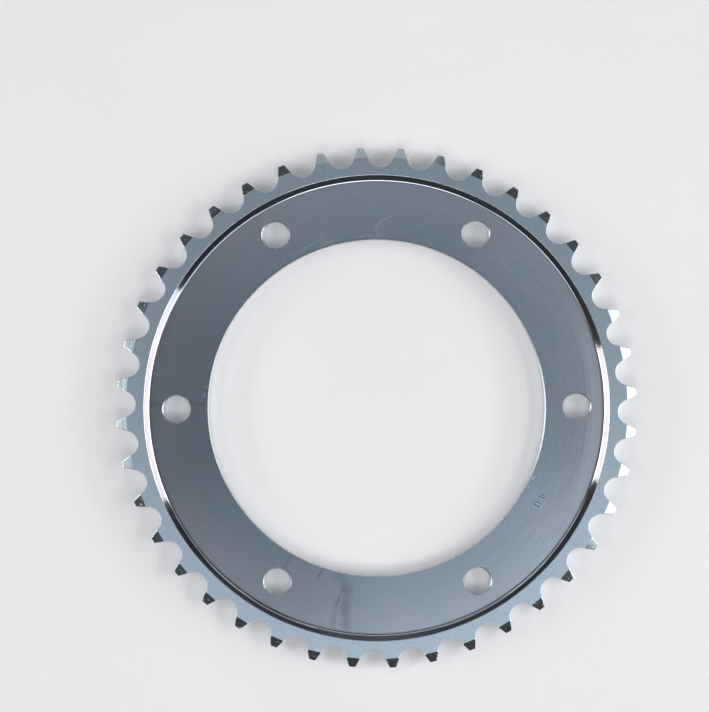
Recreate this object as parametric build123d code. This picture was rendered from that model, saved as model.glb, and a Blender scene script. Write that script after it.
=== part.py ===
from build123d import *
from math import acos, atan2, cos, degrees, hypot, pi, radians, sin, tan
import os

# Rear chain sprocket for a motorcycle: a flat steel ring with teeth round its rim, turned thinner
# inside the teeth where it sits on the hub, with one large bore and a circle of bolt holes.
# Lengths are in millimetres and angles in degrees. The Z axis is the wheel's axis, z = 0 is the
# face that lies on the hub, and the recessed face looks up.

# Roller chain that runs on the teeth
chain_pitch = 15.875
roller_diameter = 10.16

# Teeth
tooth_count = 40
tooth_thickness = 8.8
seat_angle = 130.0  # share of the roller that its seat wraps
seat_clearance = 1.01  # seat radius over roller radius
flank_radius = 100.0  # convex side of a tooth
tooth_turn = 3.3  # first tooth, counted from the first bolt hole
tip_bevel_width = 4.0  # along the radius, on both faces
tip_bevel_depth = 1.9  # along the axis, on both faces
edge_break = 0.25  # taken off the sharp edge of seats and flanks, on both faces

# Ring that is turned thinner inside the teeth
recess_depth = 2.0
rim_width = 3.4  # flat rim between the recess and the roots of the teeth
wall_slope = 47.0  # wall of the recess, measured from its floor
foot_radius = 1.35  # hollow between that floor and wall

# Fit on the hub
bore_diameter = 134.0
bore_chamfer = 0.4
bolt_count = 6
bolt_hole = 10.5
bolt_land = 7.5  # steel between the bore and a bolt hole
bolt_chamfer = 0.5

# Roller chain geometry: pitch, root and tip circles
pitch_step = 360.0 / tooth_count
pitch_radius = chain_pitch / 2 / sin(pi / tooth_count)
root_radius = pitch_radius - roller_diameter / 2
tip_height = chain_pitch * (0.5 - 0.8 / tooth_count) - roller_diameter / 2
tip_radius = pitch_radius + tip_height
seat_radius = seat_clearance * roller_diameter / 2

# Circles on which the rim's bevel and the bolt holes lie
bevel_radius = tip_radius - tip_bevel_width
bolt_circle = bore_diameter + 2 * bolt_land + bolt_hole

# Height of the recessed face above the hub
web_thickness = tooth_thickness - recess_depth


def seat_and_tooth():
    """One pitch of the outline: a roller seat on the X axis, its two flanks and the next tip.

    The seat is an arc about the roller, and each flank is a large arc that leaves the seat
    without a corner, because both centres and the point between them lie on one line. The
    flank ends where the triangle of its centre, the wheel's centre and its tip closes.
    """
    seat_centre = root_radius + seat_radius
    seat_end = 180 - seat_angle / 2
    reach = seat_radius + flank_radius
    flank_x = seat_centre + reach * cos(radians(seat_end))
    flank_y = reach * sin(radians(seat_end))
    away = hypot(flank_x, flank_y)
    corner = (away**2 + flank_radius**2 - tip_radius**2) / (2 * away * flank_radius)
    flank_end = degrees(atan2(flank_y, flank_x) + pi + acos(corner))
    flank_start = seat_end + 180
    sweep = flank_end - flank_start

    seat = CenterArc((seat_centre, 0), seat_radius, seat_end, seat_angle)
    leading = CenterArc((flank_x, flank_y), flank_radius, flank_start, sweep)
    trailing = CenterArc((flank_x, -flank_y), flank_radius, -flank_end, sweep)
    tip_point = leading @ 1
    tip_start = degrees(atan2(tip_point.Y, tip_point.X))
    tip = CenterArc((0, 0), tip_radius, tip_start, pitch_step - 2 * tip_start)
    return [trailing, seat, leading, tip]


def toothed_outline():
    """Flat outline of the whole wheel, with its first tooth turned to its place."""
    first_seat = tooth_turn + pitch_step / 2
    pitch = seat_and_tooth()
    turns = [Rot(0, 0, first_seat + index * pitch_step) for index in range(tooth_count)]
    return make_face([turn * curve for turn in turns for curve in pitch])


def turned_blank():
    """Disc before the teeth are cut: bore, recess with a hollow foot, and bevelled rim."""
    foot_hollow = min(foot_radius, 0.9 * recess_depth / (1 - cos(radians(wall_slope))))
    hollow_width = foot_hollow * sin(radians(wall_slope))
    hollow_height = foot_hollow * (1 - cos(radians(wall_slope)))
    wall_width = (recess_depth - hollow_height) / tan(radians(wall_slope))
    rim_inner = root_radius - rim_width
    floor_end = rim_inner - wall_width - hollow_width
    bore_radius = bore_diameter / 2

    hollow = CenterArc((floor_end, web_thickness + foot_hollow), foot_hollow, -90, wall_slope)
    rest = Polyline(
        hollow @ 1,
        (rim_inner, tooth_thickness),
        (bevel_radius, tooth_thickness),
        (tip_radius, tooth_thickness - tip_bevel_depth),
        (tip_radius, tip_bevel_depth),
        (bevel_radius, 0),
        (bore_radius + bore_chamfer, 0),
        (bore_radius, bore_chamfer),
        (bore_radius, web_thickness - bore_chamfer),
        (bore_radius + bore_chamfer, web_thickness),
        hollow @ 0,
    )
    section = make_face(Plane.XZ * (hollow + rest))
    return revolve(section, Axis.Z)


def cut_edges(wheel):
    """Sharp edges of the seats and flanks in the two flat faces.

    Each face is bounded by those arcs and by arcs about the wheel's own axis, where the bevels
    begin. The latter stay sharp.
    """
    flats = wheel.faces().filter_by(Axis.Z).sort_by(Axis.Z)
    bounds = flats[0].outer_wire().edges() + flats[-1].outer_wire().edges()
    return [edge for edge in bounds if hypot(edge.arc_center.X, edge.arc_center.Y) > root_radius / 2]


def bolt_hole_tool():
    """Solid that a bolt hole takes away: a drilled hole with a chamfer on both faces."""
    hole_radius = bolt_hole / 2
    wide = hole_radius + bolt_chamfer
    section = Polyline(
        (0, 0),
        (wide, 0),
        (hole_radius, bolt_chamfer),
        (hole_radius, web_thickness - bolt_chamfer),
        (wide, web_thickness),
        (0, web_thickness),
        close=True,
    )
    return revolve(make_face(Plane.XZ * section), Axis.Z)


def sprocket():
    """Finished wheel: the blank, trimmed to the toothed outline, deburred and drilled."""
    wheel = turned_blank() & extrude(toothed_outline(), tooth_thickness)
    wheel = chamfer(cut_edges(wheel), edge_break)
    places = PolarLocations(bolt_circle / 2, bolt_count)
    return wheel - [place * bolt_hole_tool() for place in places]


os.makedirs("parts", exist_ok=True)
export_step(sprocket(), "parts/sprocket.step")
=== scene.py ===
# %% [markdown]
# # A chain sprocket, from its steel blank to its studio light
#
# The object is the rear sprocket of a motorcycle: a flat steel ring with forty teeth, turned
# thinner inside them, with a wide bore and six bolt holes. It was cut, deburred and then zinc
# plated, so what makes it look real is not its shape alone. The plating is matt on the plain
# plate, silky and streaked on the turned ring, and bright on the narrow bevels of the teeth.
#
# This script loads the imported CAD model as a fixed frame, builds the visible wheel in its
# place as one closed surface, gives each of its zones a finish, and sets up the floor, lamps
# and camera.

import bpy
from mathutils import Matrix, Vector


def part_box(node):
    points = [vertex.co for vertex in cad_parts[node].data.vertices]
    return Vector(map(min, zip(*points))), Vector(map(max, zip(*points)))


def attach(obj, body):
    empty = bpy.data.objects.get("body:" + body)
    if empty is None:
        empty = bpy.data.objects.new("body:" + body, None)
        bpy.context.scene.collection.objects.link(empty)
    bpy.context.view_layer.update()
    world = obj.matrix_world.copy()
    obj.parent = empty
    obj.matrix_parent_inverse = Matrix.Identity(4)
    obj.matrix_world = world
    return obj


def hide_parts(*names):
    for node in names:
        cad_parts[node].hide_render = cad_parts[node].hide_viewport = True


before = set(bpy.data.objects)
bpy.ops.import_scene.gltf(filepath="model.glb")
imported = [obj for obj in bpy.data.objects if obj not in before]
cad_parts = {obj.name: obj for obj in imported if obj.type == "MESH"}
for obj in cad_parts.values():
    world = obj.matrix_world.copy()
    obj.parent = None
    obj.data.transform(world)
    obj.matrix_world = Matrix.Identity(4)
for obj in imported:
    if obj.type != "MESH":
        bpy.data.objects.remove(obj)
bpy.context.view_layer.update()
print("CAD nodes:", sorted(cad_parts))

# %% Tools that the lesson uses
import math

import bmesh
import bpy
import numpy as np
from mathutils import Vector
from mathutils.geometry import delaunay_2d_cdt

MM = 0.001
print("Blender", bpy.app.version_string, "and numpy", np.__version__)

# %% [markdown]
# ## The sizes of the wheel
#
# A roller chain fixes almost everything about its sprocket. The pitch and the number of teeth
# give the circle that the rollers' centres run on, and half a roller inside it lie the roots
# of the teeth. These are the same sizes that the CAD model was made from, in metres. The box
# of the CAD node checks them: it ends a tenth of a millimetre inside the tip circle, because
# no tooth points exactly along an axis.
#
# Two things differ. The wall of the recess is 45 degrees steep, where the CAD model has 47,
# because at 45 it mirrors the horizon, as in the photograph. And small rounds stand in for
# the sharp edges and for the chamfer on the teeth.

# %% Sizes
TOOTH_COUNT = 40
CHAIN_PITCH = 15.875 * MM
ROLLER_RADIUS = 5.08 * MM
SEAT_RADIUS = 1.01 * ROLLER_RADIUS
SEAT_HALF_ANGLE = math.radians(65.0)
FLANK_RADIUS = 100.0 * MM
TOOTH_TURN = math.radians(3.3)
BEVEL_WIDTH = 4.0 * MM
BEVEL_DEPTH = 1.9 * MM
THICKNESS = 8.8 * MM
RECESS_DEPTH = 2.0 * MM
RIM_WIDTH = 3.4 * MM
WALL_SLOPE = math.radians(45.0)
WALL_ROUND = 0.4 * MM
FOOT_RADIUS = 1.35 * MM
BORE_RADIUS = 67.0 * MM
BORE_CHAMFER = 0.4 * MM
BOLT_COUNT = 6
BOLT_CIRCLE_RADIUS = 79.75 * MM
BOLT_HOLE_RADIUS = 5.25 * MM
BOLT_CHAMFER = 0.5 * MM
EDGE_ROUND = 0.32 * MM
TIP_CORNER = 0.35 * MM
CRISP = 0.03 * MM

PITCH_STEP = 2 * math.pi / TOOTH_COUNT
PITCH_RADIUS = CHAIN_PITCH / 2 / math.sin(math.pi / TOOTH_COUNT)
ROOT_RADIUS = PITCH_RADIUS - ROLLER_RADIUS
TIP_RADIUS = PITCH_RADIUS + CHAIN_PITCH * (0.5 - 0.8 / TOOTH_COUNT) - ROLLER_RADIUS
BEVEL_RADIUS = TIP_RADIUS - BEVEL_WIDTH
BEVEL_SLOPE = BEVEL_DEPTH / BEVEL_WIDTH
RIM_INNER = ROOT_RADIUS - RIM_WIDTH
WEB_TOP = THICKNESS - RECESS_DEPTH

low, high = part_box("sprocket")
print(f"tip radius {TIP_RADIUS / MM:.3f} mm; CAD box {high.x / MM:.3f} by {high.z / MM:.3f} mm")

# %% [markdown]
# ## The outline of a tooth
#
# Seen from above, half a pitch of the outline is four arcs that meet without a corner. The
# seat hugs the roller. The flank is a very large arc on the tooth's side. A tiny arc takes off
# the corner of the tip, as deburring does, and the tip itself lies on the tip circle.
#
# Two arcs meet smoothly where both centres and the shared point lie on one line. So the flank's
# centre lies on the line from the roller through the seat's end, and the corner's centre is
# where two circles cross: one inside the flank, one inside the tip circle.
#
# A spline through measured points would wobble, and nobody could change the chain's size in
# it. Arcs are also what a gear cutter leaves.

# %% Arcs of half a pitch


def crossing(centre, radius_here, radius_origin):
    """Angle at a centre of the point that lies at one radius from it and one from the axis.

    The two centres and the point form a triangle with three known sides, so the cosine rule
    gives the angle between the line back to the axis and the line to the point.
    """
    away = math.hypot(*centre)
    corner = (away**2 + radius_here**2 - radius_origin**2) / (2 * away * radius_here)
    return math.atan2(centre[1], centre[0]) + math.pi + math.acos(corner)


def arc(centre, radius, start, end, steps, hollow=False):
    """Points and outward normals along an arc, without its last point.

    Each point is the centre plus the radius in the direction of its angle. The steel lies
    inside a round arc and outside a hollow one, so a hollow arc's normals point to its centre.
    """
    angle = start + (end - start) * np.arange(steps) / steps
    away = np.stack([np.cos(angle), np.sin(angle)], axis=1)
    return np.asarray(centre) + radius * away, -away if hollow else away


def half_pitch(seat_steps=9, low_steps=3, high_steps=5, corner_steps=3, tip_steps=2):
    """Points and normals from the middle of a seat to just before the middle of the next tip."""
    seat_centre = (ROOT_RADIUS + SEAT_RADIUS, 0.0)
    seat_end = math.pi - SEAT_HALF_ANGLE
    reach = SEAT_RADIUS + FLANK_RADIUS
    flank_centre = (seat_centre[0] + reach * math.cos(seat_end), reach * math.sin(seat_end))
    bevel_angle = crossing(flank_centre, FLANK_RADIUS, BEVEL_RADIUS)
    inner = FLANK_RADIUS - TIP_CORNER
    flank_end = crossing(flank_centre, inner, TIP_RADIUS - TIP_CORNER)
    corner_x = flank_centre[0] + inner * math.cos(flank_end)
    corner_y = flank_centre[1] + inner * math.sin(flank_end)
    tip_start = math.atan2(corner_y, corner_x)
    turned = tip_start if flank_end < math.pi else tip_start + 2 * math.pi
    arcs = [
        arc(seat_centre, SEAT_RADIUS, math.pi, seat_end, seat_steps, hollow=True),
        arc(flank_centre, FLANK_RADIUS, seat_end + math.pi, bevel_angle, low_steps),
        arc(flank_centre, FLANK_RADIUS, bevel_angle, flank_end, high_steps),
        arc((corner_x, corner_y), TIP_CORNER, flank_end, turned, corner_steps),
        arc((0.0, 0.0), TIP_RADIUS, tip_start, PITCH_STEP / 2, tip_steps),
    ]
    points, normals = zip(*arcs)
    return np.concatenate(points), np.concatenate(normals)


half_points, half_normals = half_pitch()
print("half a pitch has", len(half_points), "points")

# %% [markdown]
# The other half of the pitch is the same one seen in a mirror, and all forty pitches are
# copies of the first, turned. numpy turns them all at once: one array of forty angles is
# multiplied with one array of points.

# %% The whole outline


def full_outline(points, normals):
    """Outline and normals of the whole wheel, counter-clockwise.

    The half pitch is mirrored in the X axis and put before itself, and the tip's middle is
    added between two pitches. Then every pitch is turned by its own angle.
    """
    mirror = np.array([1.0, -1.0])
    tip = np.array([[math.cos(-PITCH_STEP / 2), math.sin(-PITCH_STEP / 2)]])
    one = np.concatenate([TIP_RADIUS * tip, points[:0:-1] * mirror, points])
    one_normals = np.concatenate([tip, normals[:0:-1] * mirror, normals])
    turn = TOOTH_TURN + PITCH_STEP * (0.5 + np.arange(TOOTH_COUNT))[:, None]
    cosine, sine = np.cos(turn), np.sin(turn)

    def turned(plan):
        x = plan[:, 0] * cosine - plan[:, 1] * sine
        y = plan[:, 0] * sine + plan[:, 1] * cosine
        return np.stack([x.ravel(), y.ravel()], axis=1)

    return turned(one), turned(one_normals)


outline, outline_normals = full_outline(half_points, half_normals)
COLUMNS = len(outline)
print("the outline has", COLUMNS, "points and is", round(2 * TIP_RADIUS / MM, 2), "mm across")

# %% [markdown]
# ## The toothed rim as one sheet
#
# The rim is a sheet with a column for every point of the outline. Its rows start underneath,
# run out to the teeth, come up over their edge, cross the flat rim and go down the wall of the
# recess. In plan each row is a circle or the outline moved inwards. The height of a face
# follows from the radius alone, because the faces were turned on a lathe before the teeth
# were cut.
#
# Sharp edges never look like metal: every real edge is a small round that catches the light.
# So each edge gets a few rows of its own, about a third of a millimetre wide.
#
# Polished metal shows every error in its shading as a wobble in a reflection. So each row also
# carries exact normals, worked out from the same formulas as its points, and nothing is left
# to an average over uneven faces.

# %% Rows of the rim
ROUNDING_ERROR = 1e-9


def row(plan, height, normals):
    """One row of a sheet: its points and its unit normals."""
    points = np.column_stack([plan, np.broadcast_to(height, (len(plan),))])
    long = np.broadcast_to(normals, points.shape)
    return points, long / np.linalg.norm(long, axis=1)[:, None]


def face_height(radius):
    """Height of a face against its flat part: level, then falling along the bevel."""
    return -np.maximum(radius - BEVEL_RADIUS, 0.0) * BEVEL_SLOPE


def face_normal(plan):
    """Upward normal of a face: straight up on the flat, leaning outwards on the bevel."""
    radius = np.hypot(plan[:, 0], plan[:, 1])[:, None]
    lean = np.where(radius > BEVEL_RADIUS + ROUNDING_ERROR, BEVEL_SLOPE, 0.0) * plan / radius
    return np.column_stack([lean, np.ones(len(plan))])


def edge_rows(steps=4):
    """Rows over the tooth's edge, from its side wall to its face.

    At an angle a of the round, the row lies r(1 - cos a) inside the outline and r(1 - sin a)
    below the face. Its normal is cos a times the outline's plus sin a times the face's.
    """
    side = np.column_stack([outline_normals, np.zeros(COLUMNS)])
    rows = []
    for angle in np.linspace(0, math.pi / 2, steps + 1):
        plan = outline - EDGE_ROUND * (1 - math.cos(angle)) * outline_normals
        drop = EDGE_ROUND * (1 - math.sin(angle))
        height = face_height(np.hypot(*plan.T)) - drop
        normals = math.cos(angle) * side + math.sin(angle) * face_normal(plan)
        rows.append(row(plan, height, normals))
    return rows


def crease_rows(plan):
    """Two rows inside the edge: they hug the line where the bevel begins, and keep it crisp."""
    edge = np.hypot(*plan.T)
    direction = plan / edge[:, None]
    outer = np.minimum(BEVEL_RADIUS + CRISP, edge - CRISP)
    inner = np.minimum(BEVEL_RADIUS - CRISP, outer - CRISP)
    rows = []
    for radius in (outer, inner):
        plan = direction * radius[:, None]
        rows.append(row(plan, face_height(radius), face_normal(plan)))
    return rows, direction


def recess_rows(direction, foot_steps=8, top_steps=3):
    """Rows from the flat rim down the wall of the recess to its floor.

    A small round leads into the wall and a large hollow leads out of it. Both are arcs, so
    their normals lean towards the axis by the arc's own angle.
    """
    hollow_width = FOOT_RADIUS * math.sin(WALL_SLOPE)
    hollow_height = FOOT_RADIUS * (1 - math.cos(WALL_SLOPE))
    wall_width = (RECESS_DEPTH - hollow_height) / math.tan(WALL_SLOPE)
    floor_end = RIM_INNER - wall_width - hollow_width
    top = np.linspace(0, WALL_SLOPE, top_steps + 1)
    top_r = RIM_INNER + WALL_ROUND * (math.tan(WALL_SLOPE / 2) - np.sin(top))
    top_z = -WALL_ROUND * (1 - np.cos(top))
    foot = np.linspace(WALL_SLOPE, 0, foot_steps + 1)
    foot_r = floor_end + FOOT_RADIUS * np.sin(foot)
    foot_z = -RECESS_DEPTH + FOOT_RADIUS * (1 - np.cos(foot))
    rows = []
    for radius, z, a in zip([*top_r, *foot_r], [*top_z, *foot_z], [*top, *foot]):
        normals = np.column_stack([-math.sin(a) * direction, np.full(COLUMNS, math.cos(a))])
        rows.append(row(radius * direction, z, normals))
    return rows


round_rows = edge_rows()
crease, column_directions = crease_rows(round_rows[-1][0][:, :2])
recess = recess_rows(column_directions)
FLOOR_RADIUS = float(np.hypot(*recess[-1][0][0, :2]))
print("the recess floor ends at", round(FLOOR_RADIUS / MM, 2), "mm")

# %% [markdown]
# A sheet of rows and columns becomes faces by a rule on index numbers: each face joins a point
# to its right neighbour and to the two in the next row. The same small function serves the
# rim, the bore and the bolt holes, because all three close on themselves.

# %% Sheets


def sheet(rows, columns):
    """Points, normals and quads of rows whose last column meets their first."""
    step, column = np.meshgrid(np.arange(len(rows) - 1), np.arange(columns), indexing="ij")
    here, right = step * columns + column, step * columns + (column + 1) % columns
    faces = np.stack([here, right, right + columns, here + columns], axis=-1).reshape(-1, 4)
    points, normals = zip(*rows)
    return np.concatenate(points), np.concatenate(normals), faces


def lifted(rows):
    """Rows of the upper side, at their height above the hub's face."""
    return [(points + (0, 0, THICKNESS), normals) for points, normals in rows]


def turned_over(rows):
    """The same rows on the underside, seen in a mirror at half the height."""
    return [(points * (1, 1, -1), normals * (1, 1, -1)) for points, normals in rows]


inner_circle = row(RIM_INNER * column_directions, 0.0, (0.0, 0.0, 1.0))
under = turned_over(round_rows + crease + [inner_circle])[::-1]
rim_rows = under + lifted(round_rows + crease + recess)
rim_sheet = sheet(rim_rows, COLUMNS)
print("the rim has", len(rim_rows), "rows and", len(rim_sheet[2]), "faces")

# %% [markdown]
# ## The bore and the bolt holes
#
# A drilled hole is the simplest sheet: circles of a few radii, one under the other. A chamfer
# on both faces leads the bolt in. Its two lines get a row on each side, so that they stay
# crisp although the shading is smooth.

# %% Holes


def hole(radius, chamfer, centre, columns):
    """Sheet of a hole's wall, from the upper face down to the lower one.

    The radius is widest at both faces, shrinks by the chamfer and stays the same between. The
    normals point to the hole's axis and lean up or down by 45 degrees on the chamfers.
    """
    profile = [
        (radius + chamfer, WEB_TOP, 1.0, 0.0),
        (radius + chamfer - CRISP, WEB_TOP - CRISP, 1.0, 1.0),
        (radius + CRISP, WEB_TOP - chamfer + CRISP, 1.0, 1.0),
        (radius, WEB_TOP - chamfer - CRISP, 0.0, 1.0),
        (radius, chamfer + CRISP, 0.0, 1.0),
        (radius + CRISP, chamfer - CRISP, -1.0, 1.0),
        (radius + chamfer - CRISP, CRISP, -1.0, 1.0),
        (radius + chamfer, 0.0, -1.0, 0.0),
    ]
    angle = 2 * math.pi * np.arange(columns) / columns
    away = np.stack([np.cos(angle), np.sin(angle)], axis=1)
    rows = []
    for r, z, up, inward in profile:
        normals = np.column_stack([-inward * away, np.full(columns, up)])
        rows.append(row(np.asarray(centre) + r * away, z, normals))
    return sheet(rows, columns)


BORE_COLUMNS, BOLT_COLUMNS = 480, 72
bolt_angles = 2 * math.pi * np.arange(BOLT_COUNT) / BOLT_COUNT
bolt_centres = BOLT_CIRCLE_RADIUS * np.stack([np.cos(bolt_angles), np.sin(bolt_angles)], axis=1)
bore_sheet = hole(BORE_RADIUS, BORE_CHAMFER, (0.0, 0.0), BORE_COLUMNS)
bolt_sheets = [
    hole(BOLT_HOLE_RADIUS, BOLT_CHAMFER, centre, BOLT_COLUMNS) for centre in bolt_centres
]
print("bore and bolt holes:", 1 + len(bolt_sheets))

# %% [markdown]
# ## The stamped number
#
# A hand punch left the number of teeth in the ring. A punch pushes steel aside, so each stroke
# is a small valley with soft shoulders and a faint raised lip. That is a height over a fine
# grid: for each grid point the distance to the nearest stroke is worked out, and the valley's
# depth follows from that distance. A bump in the material would look the same from straight
# above, but it would vanish in the mesh and from the side.

# %% The number's strokes
STAMP_RADIUS = 74.7 * MM
STAMP_ANGLE = math.radians(-29.8)
DIGIT_HEIGHT = 2.8 * MM
DIGIT_WIDTH = 1.9 * MM
DIGIT_SPACING = 3.5 * MM

# Shares of half a digit's size: where the four has its stem and bar, and the nought's width
FOUR_STEM, FOUR_BAR = 0.35, -0.35
NOUGHT_WIDTH = 0.85

STROKE_WIDTH = 0.32 * MM
STROKE_DEPTH = 0.28 * MM

# Shares of the stroke: the lip's place and width of its width, and the height of its depth
LIP_PLACE, LIP_WIDTH, LIP_HEIGHT = 1.3, 0.4, 0.08

PATCH_SIZE = (7.6 * MM, 5.0 * MM)
PATCH_STEP = 0.1 * MM


def digit_four(centre):
    """Three straight strokes of a four: the slope, the bar and the stem."""
    x, y = centre
    half, tall = DIGIT_WIDTH / 2, DIGIT_HEIGHT / 2
    stem, bar = x + FOUR_STEM * half, y + FOUR_BAR * tall
    return np.array(
        [
            [x - half, bar, stem, y + tall],
            [x - half, bar, x + half, bar],
            [stem, y + tall, stem, y - tall],
        ]
    )


def digit_nought(centre, sides=24):
    """Short strokes round the oval of a nought."""
    angle = 2 * math.pi * np.arange(sides + 1) / sides
    x = centre[0] + NOUGHT_WIDTH * DIGIT_WIDTH / 2 * np.cos(angle)
    y = centre[1] + DIGIT_HEIGHT / 2 * np.sin(angle)
    return np.stack([x[:-1], y[:-1], x[1:], y[1:]], axis=1)


def stroke_distance(points, strokes):
    """Distance from each point to the nearest of the straight strokes."""
    start, end = strokes[:, :2], strokes[:, 2:]
    along = end - start
    offset = points[:, None] - start
    share = np.clip((offset * along).sum(2) / (along**2).sum(1), 0, 1)
    return np.linalg.norm(offset - share[..., None] * along, axis=2).min(1)


def stamped_height(distance):
    """Height of the struck steel: a smooth valley, with a low lip beside it."""
    widths = distance / STROKE_WIDTH
    valley = np.clip(1 - widths, 0, 1)
    lip = LIP_HEIGHT * np.exp(-(((widths - LIP_PLACE) / LIP_WIDTH) ** 2))
    return STROKE_DEPTH * (lip - valley**2 * (3 - 2 * valley))


def stamp_axes():
    """Directions of the number's line of writing and of its digits' tops, as seen from above."""
    up = np.array([math.cos(STAMP_ANGLE), math.sin(STAMP_ANGLE)])
    return np.array([up[1], -up[0]]), up


def stamp_patch():
    """Sheet and border of the fine grid that carries the number, turned to its place.

    The normals follow from the slopes of the height along the grid's two directions.
    """
    count_x, count_y = (round(size / PATCH_STEP) for size in PATCH_SIZE)
    x = np.linspace(-PATCH_SIZE[0] / 2, PATCH_SIZE[0] / 2, count_x + 1)
    y = np.linspace(-PATCH_SIZE[1] / 2, PATCH_SIZE[1] / 2, count_y + 1)
    grid = np.stack(np.meshgrid(x, y, indexing="xy"), axis=-1)
    digits = [digit_four((-DIGIT_SPACING / 2, 0.0)), digit_nought((DIGIT_SPACING / 2, 0.0))]
    distance = stroke_distance(grid.reshape(-1, 2), np.concatenate(digits))
    height = stamped_height(distance).reshape(count_y + 1, count_x + 1)
    height[[0, -1]], height[:, [0, -1]] = 0, 0
    slope_y, slope_x = np.gradient(height, y, x)
    line, up = stamp_axes()
    plan = STAMP_RADIUS * up + grid[..., :1] * line + grid[..., 1:] * up
    lean = -slope_x[..., None] * line - slope_y[..., None] * up
    points = np.concatenate([plan, WEB_TOP + height[..., None]], axis=-1).reshape(-1, 3)
    normals = np.concatenate([lean, np.ones_like(height)[..., None]], axis=-1).reshape(-1, 3)
    normals /= np.linalg.norm(normals, axis=1)[:, None]
    index = np.arange(len(points)).reshape(height.shape)
    faces = np.stack([index[:-1, :-1], index[:-1, 1:], index[1:, 1:], index[1:, :-1]], axis=-1)
    border = np.concatenate([index[0, :-1], index[:-1, -1], index[-1, :0:-1], index[:0:-1, 0]])
    normals[border] = (0, 0, 1)
    return (points, normals, faces.reshape(-1, 4)), border


stamp_sheet, stamp_border = stamp_patch()
print("the number's patch has", len(stamp_sheet[2]), "faces")

# %% [markdown]
# ## The flat faces
#
# Two flat rings with holes in them are left. Nothing else on them needs a grid: a constrained
# triangulation joins the loops that are there already and adds no point, so every seam with
# the sheets closes exactly.

# %% Flat faces between loops
SAME_PLACE_MM = 1e-7


def flat_face(loops, height, up):
    """Sheet of the flat ring between closed loops of plan points, looking up or down.

    The triangulation fills everything inside the first loop, the holes too. Every hole is
    convex and empty, so a triangle lies in one exactly if its corners are all on its loop.
    """
    plan = np.concatenate(loops)
    loop_of = np.repeat(np.arange(len(loops)), [len(loop) for loop in loops])
    starts = np.cumsum([0] + [len(loop) for loop in loops[:-1]])
    edges = [
        (start + i, start + (i + 1) % len(loop))
        for start, loop in zip(starts, loops)
        for i in range(len(loop))
    ]
    corners_mm = [Vector(point / MM) for point in plan]
    made = delaunay_2d_cdt(corners_mm, edges, [], 1, SAME_PLACE_MM)
    given = np.array([sources[0] for sources in made[3]])
    faces = given[np.array(made[2])]
    corners = loop_of[faces]
    in_hole = (corners[:, 0] > 0) & (corners == corners[:, :1]).all(1)
    points = np.column_stack([plan, np.full(len(plan), height)])
    return points, np.tile([0.0, 0.0, up], (len(plan), 1)), faces[~in_hole][:, :: int(up)]


def upper_loop(made, columns):
    """Plan points of a hole's first row, which its last row repeats."""
    return made[0][:columns, :2]


hole_loops = [upper_loop(bore_sheet, BORE_COLUMNS)]
hole_loops += [upper_loop(made, BOLT_COLUMNS) for made in bolt_sheets]
front_loops = [FLOOR_RADIUS * column_directions, *hole_loops, stamp_sheet[0][stamp_border, :2]]
ring_front = flat_face(front_loops, WEB_TOP, 1.0)
ring_back = flat_face([RIM_INNER * column_directions, *hole_loops], 0.0, -1.0)
print("flat faces:", len(ring_front[2]), "triangles in front,", len(ring_back[2]), "behind")

# %% [markdown]
# ## One closed wheel
#
# All sheets go into one mesh, and points that coincide are merged, which closes the seams. The
# exact normals ride along on the points as an attribute and are set on the finished mesh.
#
# A closed mesh has no open edge, and its volume is known. If a sheet were inside out or a seam
# were open, these two numbers would show it at once: the CAD solid holds 118.2 cubic cm.
#
# Each face also gets its zone, because one blank carries five finishes: matt plate, turned
# ring, bright bevels, the bright wall of the recess, and the cut sides of teeth and holes.

# %% Join the sheets
RIM, TURNED, BEVEL, WALL, CUT = range(5)
SEAM_GAP = 0.001 * MM


def rim_zones():
    """Zone of each face of the rim sheet, from its place among the rows and its radius."""
    points, _, faces = rim_sheet
    middle = points[faces].mean(1)
    radius = np.hypot(middle[:, 0], middle[:, 1])
    step = np.repeat(np.arange(len(rim_rows) - 1), COLUMNS)
    side = len(under) - 1
    zone = np.full(len(faces), RIM)
    zone[step > side + len(round_rows) + len(crease)] = WALL
    zone[radius > BEVEL_RADIUS] = BEVEL
    zone[step == side] = CUT
    return zone


def gather(parts):
    """Points, normals, faces and zones of several sheets as one numbered set."""
    points, normals, faces, zones, shift = [], [], [], [], 0
    for (part_points, part_normals, part_faces), part_zones in parts:
        points.append(part_points)
        normals.append(part_normals)
        faces += (part_faces + shift).tolist()
        zones.append(np.broadcast_to(part_zones, (len(part_faces),)))
        shift += len(part_points)
    return np.concatenate(points), np.concatenate(normals), faces, np.concatenate(zones)


def closed_mesh(name, points, normals, faces, zones):
    """Mesh with merged seams, a material number for each face and the given normals."""
    mesh = bpy.data.meshes.new(name)
    mesh.from_pydata(points.tolist(), [], faces)
    mesh.polygons.foreach_set("material_index", zones.astype(np.int32))
    exact = mesh.attributes.new("exact_normal", "FLOAT_VECTOR", "POINT")
    exact.data.foreach_set("vector", normals.astype(np.float32).ravel())
    work = bmesh.new()
    work.from_mesh(mesh)
    bmesh.ops.remove_doubles(work, verts=work.verts, dist=SEAM_GAP)
    open_edges = sum(not edge.is_manifold for edge in work.edges)
    volume = work.calc_volume(signed=True)
    work.to_mesh(mesh)
    work.free()
    mesh.shade_smooth()
    kept = np.empty(3 * len(mesh.vertices), np.float32)
    mesh.attributes["exact_normal"].data.foreach_get("vector", kept)
    mesh.attributes.remove(mesh.attributes["exact_normal"])
    mesh.normals_split_custom_set_from_vertices(kept.reshape(-1, 3))
    print(f"{name}: {len(mesh.polygons)} faces and {open_edges} open edges")
    print(f"{name}: {volume * 1e6:.2f} cubic cm")
    return mesh


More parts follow.
